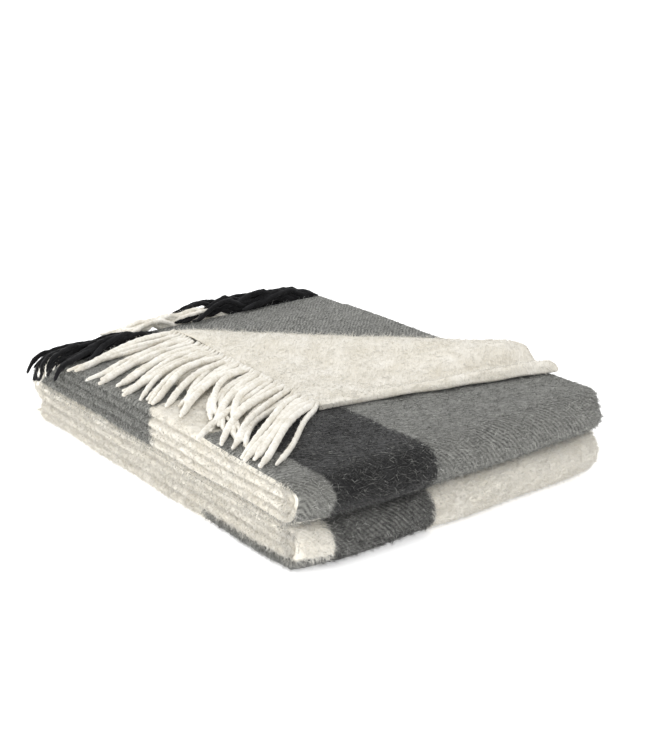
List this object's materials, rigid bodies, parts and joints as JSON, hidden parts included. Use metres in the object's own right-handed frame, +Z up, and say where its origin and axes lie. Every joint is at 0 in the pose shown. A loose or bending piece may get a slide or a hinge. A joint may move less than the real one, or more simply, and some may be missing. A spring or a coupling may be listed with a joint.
{
  "type": "camp blanket",
  "caption": "Brushed wool blanket in a large two-colour check, folded into a flat pile, with a twisted fringe and one corner turned back.",
  "frame": {"origin": "middle of the pile's flat underside", "axes": "+X along the front edge to the right, +Y from the front to the back, +Z up"},
  "size_m": [0.3712, 0.4526, 0.0959],
  "materials": {
    "brushed_wool_check": "matte",
    "cream_wool_fringe": "matte",
    "charcoal_wool_fringe": "matte"
  },
  "bodies": {
    "bottom_layer": {"bottom_layer": "brushed_wool_check"},
    "lower_middle_layer": {"lower_middle_layer": "brushed_wool_check"},
    "upper_middle_layer": {"upper_middle_layer": "brushed_wool_check"},
    "top_layer": {"top_layer": "brushed_wool_check", "top_ply": "brushed_wool_check", "hem_tassel_01": "charcoal_wool_fringe", "hem_tassel_02": "charcoal_wool_fringe", "hem_tassel_03": "charcoal_wool_fringe", "hem_tassel_04": "charcoal_wool_fringe", "hem_tassel_05": "charcoal_wool_fringe", "hem_tassel_06": "charcoal_wool_fringe", "hem_tassel_07": "charcoal_wool_fringe", "hem_tassel_08": "charcoal_wool_fringe", "hem_tassel_09": "charcoal_wool_fringe", "hem_tassel_10": "charcoal_wool_fringe", "hem_tassel_11": "charcoal_wool_fringe", "hem_tassel_12": "cream_wool_fringe", "hem_tassel_13": "cream_wool_fringe", "hem_tassel_14": "cream_wool_fringe", "hem_tassel_15": "cream_wool_fringe", "hem_tassel_16": "cream_wool_fringe", "hem_tassel_17": "cream_wool_fringe", "hem_tassel_18": "cream_wool_fringe", "hem_tassel_19": "cream_wool_fringe", "hem_tassel_20": "cream_wool_fringe", "hem_tassel_21": "charcoal_wool_fringe", "hem_tassel_22": "charcoal_wool_fringe", "hem_tassel_23": "charcoal_wool_fringe", "hem_tassel_24": "charcoal_wool_fringe", "hem_tassel_25": "charcoal_wool_fringe", "hem_tassel_26": "charcoal_wool_fringe", "hem_tassel_27": "charcoal_wool_fringe", "hem_tassel_28": "charcoal_wool_fringe", "hem_tassel_29": "charcoal_wool_fringe", "hem_tassel_30": "charcoal_wool_fringe", "hem_tassel_31": "charcoal_wool_fringe"},
    "turned_corner": {"turned_corner": "brushed_wool_check", "corner_tassel_01": "cream_wool_fringe", "corner_tassel_02": "cream_wool_fringe", "corner_tassel_03": "cream_wool_fringe", "corner_tassel_04": "cream_wool_fringe", "corner_tassel_05": "cream_wool_fringe", "corner_tassel_06": "cream_wool_fringe", "corner_tassel_07": "cream_wool_fringe", "corner_tassel_08": "cream_wool_fringe", "corner_tassel_09": "cream_wool_fringe", "corner_tassel_10": "cream_wool_fringe", "corner_tassel_11": "cream_wool_fringe", "corner_tassel_12": "cream_wool_fringe", "corner_tassel_13": "cream_wool_fringe", "corner_tassel_14": "cream_wool_fringe", "corner_tassel_15": "cream_wool_fringe", "corner_tassel_16": "cream_wool_fringe", "corner_tassel_17": "cream_wool_fringe", "corner_tassel_18": "cream_wool_fringe", "corner_tassel_19": "cream_wool_fringe", "corner_tassel_20": "cream_wool_fringe", "corner_tassel_21": "cream_wool_fringe", "corner_tassel_22": "cream_wool_fringe"}
  },
  "joints": [
    {"name": "lower_front_fold", "type": "hinge", "parent": "bottom_layer", "child": "lower_middle_layer", "pos_m": [0, -0.215, 0.0178], "axis": [1, 0, 0], "range_deg": [0, 176]},
    {"name": "back_fold", "type": "hinge", "parent": "lower_middle_layer", "child": "upper_middle_layer", "pos_m": [0, 0.215, 0.0356], "axis": [-1, 0, 0], "range_deg": [0, 176]},
    {"name": "upper_front_fold", "type": "hinge", "parent": "upper_middle_layer", "child": "top_layer", "pos_m": [0, -0.215, 0.0534], "axis": [1, 0, 0], "range_deg": [0, 176]},
    {"name": "corner_fold", "type": "hinge", "parent": "top_layer", "child": "turned_corner", "pos_m": [-0.045, 0.143, 0.0752], "axis": [-0.6638, 0.7476, -0.0226], "range_deg": [0, 176]}
  ],
  "couplings": [
    {"joint": "back_fold", "follows": "lower_front_fold", "ratio": 1},
    {"joint": "upper_front_fold", "follows": "lower_front_fold", "ratio": 1}
  ]
}
